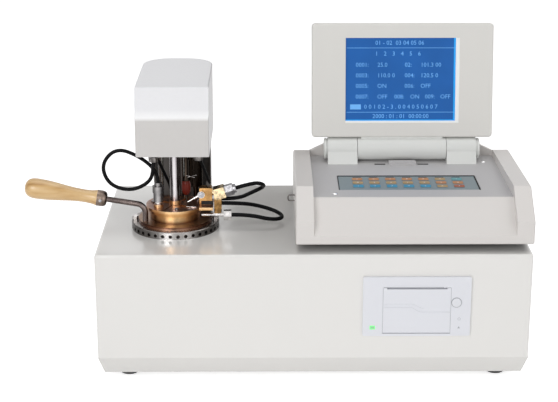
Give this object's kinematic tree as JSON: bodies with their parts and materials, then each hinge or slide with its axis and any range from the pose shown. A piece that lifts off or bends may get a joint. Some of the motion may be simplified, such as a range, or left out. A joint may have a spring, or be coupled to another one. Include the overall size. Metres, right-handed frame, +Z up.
{
  "type": "flash point tester",
  "caption": "Bench closed-cup flash point tester: bath and lifting head on the left, keypad console with folding screen on the right, strip printer in front.",
  "frame": {"origin": "on the table, below the middle of the outline", "axes": "+X to the right seen from the front, +Y to the back, +Z up"},
  "size_m": [0.532, 0.2662, 0.343],
  "materials": {
    "cover_paint": "satin",
    "pan_paint": "satin",
    "panel_paint": "satin",
    "foot_rubber": "matt",
    "bath_iron": "matt",
    "heater_band": "satin",
    "collar_steel": "satin",
    "screw_steel": "bright",
    "cup_brass": "satin",
    "rod_steel": "satin",
    "ferrule_steel": "satin",
    "grip_wood": "varnished",
    "lid_brass": "satin",
    "bright_steel": "polished",
    "stirrer_steel": "satin",
    "drive_dark": "satin",
    "probe_steel": "bright",
    "connector_dark": "satin",
    "igniter_red": "gloss",
    "block_brass": "bright",
    "hose_black": "satin",
    "knob_dark": "matt",
    "hood_paint": "satin",
    "plate_steel": "satin",
    "motor_dark": "satin",
    "slide_steel": "bright",
    "console_plastic": "satin",
    "recess_plastic": "satin",
    "keypad_film": "satin",
    "hinge_plastic": "satin",
    "screen_plastic": "satin",
    "lcd_blue": "gloss",
    "printer_plastic": "satin",
    "lamp_green": "gloss",
    "paper": "matt",
    "button_plastic": "satin",
    "fan_black": "matt",
    "inlet_black": "satin"
  },
  "bodies": {
    "base": {"base_pan": "pan_paint", "main_cover": "cover_paint", "rear_panel": "panel_paint", "feet": "foot_rubber", "heating_bath": "bath_iron", "bath_heater": "heater_band", "bath_collar": "collar_steel", "collar_screws": "screw_steel", "guide_rods": "slide_steel", "lift_actuator": "slide_steel", "console_shell": "console_plastic", "console_base": "foot_rubber", "recess_panel": "recess_plastic", "keypad": "keypad_film", "hinge_knuckles": "hinge_plastic", "printer_body": "printer_plastic", "printer_lamp": "lamp_green", "paper_roll": "paper", "fan_housing": "fan_black", "power_inlet": "inlet_black", "gas_inlet": "block_brass"},
    "cup": {"test_cup": "cup_brass", "handle_rod": "rod_steel", "handle_ferrule": "ferrule_steel", "handle_rivet": "screw_steel", "handle_grip": "grip_wood"},
    "head": {"lid": "lid_brass", "stirrer_tube": "bright_steel", "hanger_rods": "bright_steel", "drive_tube": "drive_dark", "probe": "probe_steel", "probe_connector": "connector_dark", "igniter": "igniter_red", "ignition_block": "block_brass", "burner_pivot": "screw_steel", "gas_elbow": "block_brass", "hose_connector": "screw_steel", "gas_pipe": "screw_steel", "upper_hose": "hose_black", "lower_hose": "hose_black", "probe_cable": "hose_black", "hood": "hood_paint", "head_plate": "plate_steel", "stirrer_motor": "motor_dark", "column": "hood_paint", "carriage": "motor_dark", "actuator_rod": "slide_steel"},
    "stirrer": {"stirrer": "stirrer_steel"},
    "shutter": {"shutter": "lid_brass"},
    "burner": {"burner": "screw_steel"},
    "valve_knob": {"valve_knob": "knob_dark"},
    "screen": {"hinge_pin": "slide_steel", "hinge_barrel": "hinge_plastic", "screen_bezel": "screen_plastic", "lcd_panel": "lcd_blue", "screen_back": "screen_plastic"},
    "printer_door": {"printer_door": "printer_plastic"},
    "printer_button": {"printer_button": "button_plastic"},
    "fan": {"fan_rotor": "fan_black"},
    "power_rocker": {"power_rocker": "inlet_black"}
  },
  "joints": [
    {"name": "head_lift", "type": "slide", "parent": "base", "child": "head", "axis": [0, 0, 1], "range_m": [0, 0.1]},
    {"name": "cup_lift", "type": "slide", "parent": "base", "child": "cup", "axis": [0, 0, 1], "range_m": [0, 0.046]},
    {"name": "stirrer_spin", "type": "hinge", "parent": "head", "child": "stirrer", "pos_m": [-0.107, -0.0349, 0.142], "axis": [0, 0, 1], "continuous": true},
    {"name": "shutter_turn", "type": "hinge", "parent": "head", "child": "shutter", "pos_m": [-0.107, -0.0349, 0.166], "axis": [0, 0, 1], "range_deg": [0, 38]},
    {"name": "burner_tilt", "type": "hinge", "parent": "head", "child": "burner", "pos_m": [-0.0785, -0.0429, 0.18], "axis": [0, -1, 0], "range_deg": [0, 22]},
    {"name": "valve_turn", "type": "hinge", "parent": "head", "child": "valve_knob", "pos_m": [-0.0708, -0.0334, 0.188], "axis": [0, 0, 1], "range_deg": [0, 270]},
    {"name": "screen_tilt", "type": "hinge", "parent": "base", "child": "screen", "pos_m": [0.143, 0.0521, 0.204], "axis": [1, 0, 0], "range_deg": [-10, 85]},
    {"name": "printer_door_hinge", "type": "hinge", "parent": "base", "child": "printer_door", "pos_m": [0.1464, -0.1304, 0.058], "axis": [1, 0, 0], "range_deg": [0, 85]},
    {"name": "printer_button_press", "type": "slide", "parent": "base", "child": "printer_button", "axis": [0, 1, 0], "range_m": [0, 0.001], "stiffness_N_per_m": 300, "springref_m": -0.001},
    {"name": "fan_spin", "type": "hinge", "parent": "base", "child": "fan", "pos_m": [0.19, 0.1041, 0.085], "axis": [0, 1, 0], "continuous": true},
    {"name": "power_rocker_tilt", "type": "hinge", "parent": "base", "child": "power_rocker", "pos_m": [0.07, 0.1131, 0.0794], "axis": [1, 0, 0], "range_deg": [0, 14]}
  ],
  "couplings": [
    {"joint": "cup_lift", "follows": "head_lift", "ratio": 0.46},
    {"joint": "burner_tilt", "follows": "shutter_turn", "ratio": 0.578}
  ]
}
